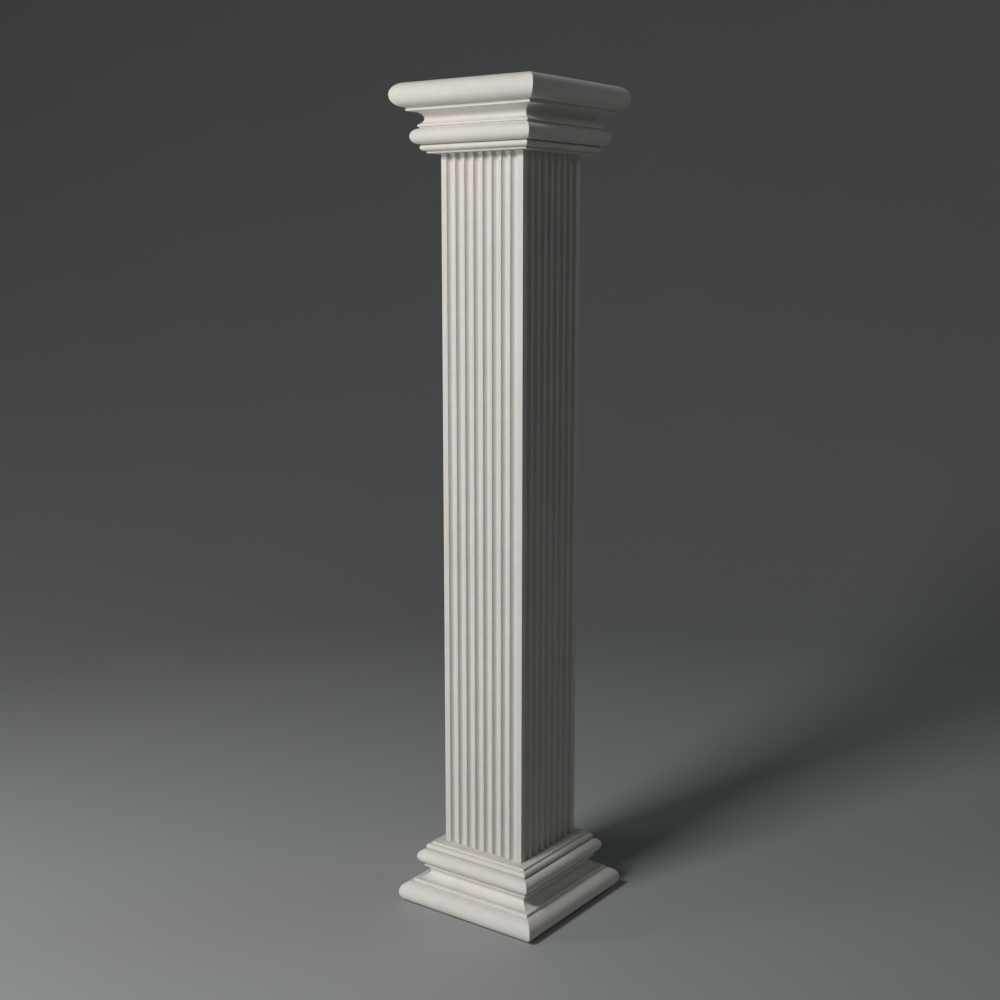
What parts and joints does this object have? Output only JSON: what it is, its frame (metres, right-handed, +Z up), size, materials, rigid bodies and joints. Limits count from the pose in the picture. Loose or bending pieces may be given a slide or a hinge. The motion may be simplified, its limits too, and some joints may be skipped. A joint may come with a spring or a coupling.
{
  "type": "square fluted column",
  "caption": "Square stone column with fluted faces, a moulded base and a matching capital, for carrying a beam or standing alone.",
  "frame": {"origin": "on the floor, at the middle of the base's flat underside", "axes": "+Z up along the column's axis, +X and +Y square to two of its flat faces"},
  "size_m": [0.52, 0.52, 2.5746],
  "materials": {
    "base_stone": "fine rubbed, matt",
    "shaft_stone": "fine rubbed, matt",
    "capital_stone": "fine rubbed, matt"
  },
  "bodies": {
    "root": {"base": "base_stone", "shaft": "shaft_stone", "capital": "capital_stone"}
  },
  "joints": []
}
